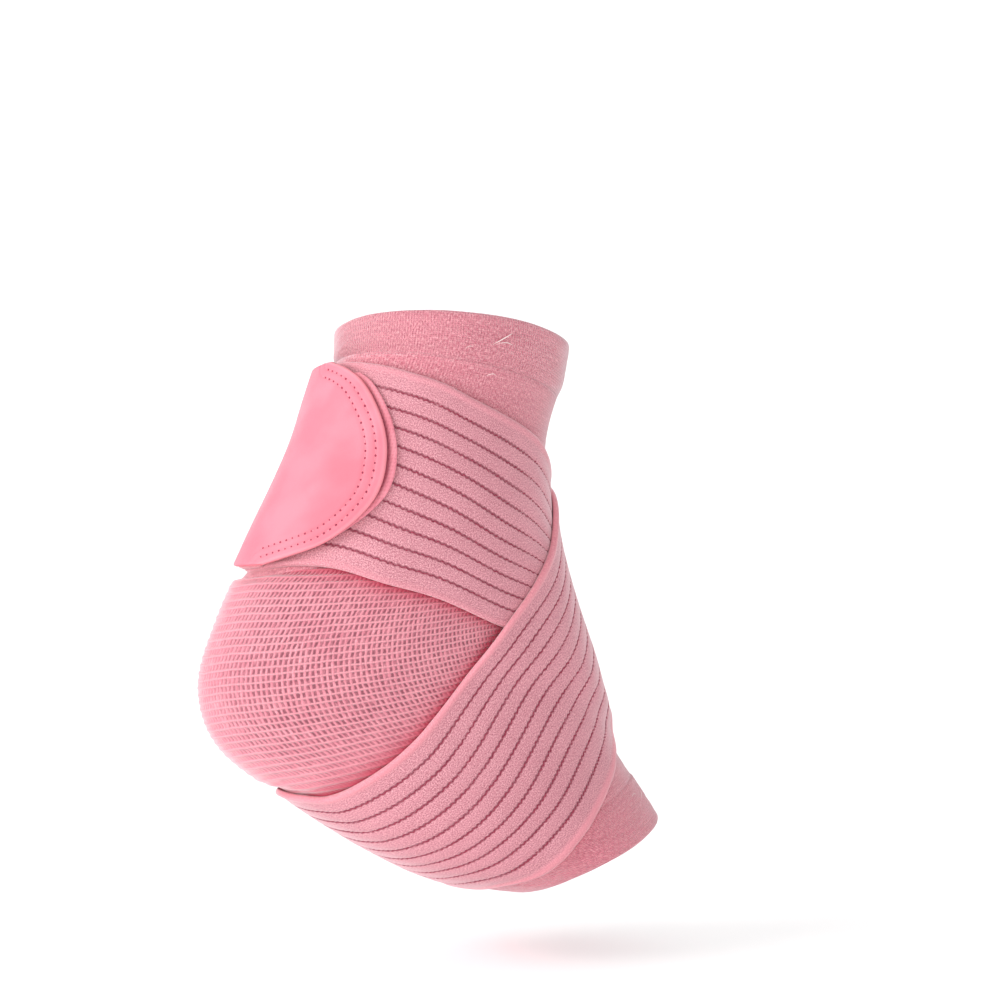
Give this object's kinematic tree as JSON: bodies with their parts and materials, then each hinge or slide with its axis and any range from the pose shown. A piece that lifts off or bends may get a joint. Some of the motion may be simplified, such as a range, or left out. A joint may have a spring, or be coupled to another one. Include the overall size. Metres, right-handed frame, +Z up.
{
  "type": "ankle brace",
  "caption": "Knitted heel-and-ankle sleeve open at the toes, with an elastic strap wrapped in a figure of eight and closed by a hook tab.",
  "frame": {"origin": "middle of the ankle inside the sleeve, where the ankle sits", "axes": "+X towards the toes, +Y towards the wearer's left (the lateral side of this left-foot brace), +Z up; the heel is raised as worn"},
  "size_m": [0.1688, 0.085, 0.2092],
  "materials": {
    "cuff_knit": "fine dense rib knit, soft pink",
    "heel_knit": "open ladder knit, soft pink",
    "strap_elastic": "woven elastic webbing, dusty pink with dark drop-stitch lines",
    "tab_backing": "hook tape, pink",
    "tab_satin": "smooth satin-faced tab, padded and stitched"
  },
  "bodies": {
    "root": {"ankle_cuff": "cuff_knit", "foot_cuff": "cuff_knit", "heel_sleeve": "heel_knit", "wrap_strap": "strap_elastic", "tab_backing": "tab_backing", "strap_tab": "tab_satin"}
  },
  "joints": []
}
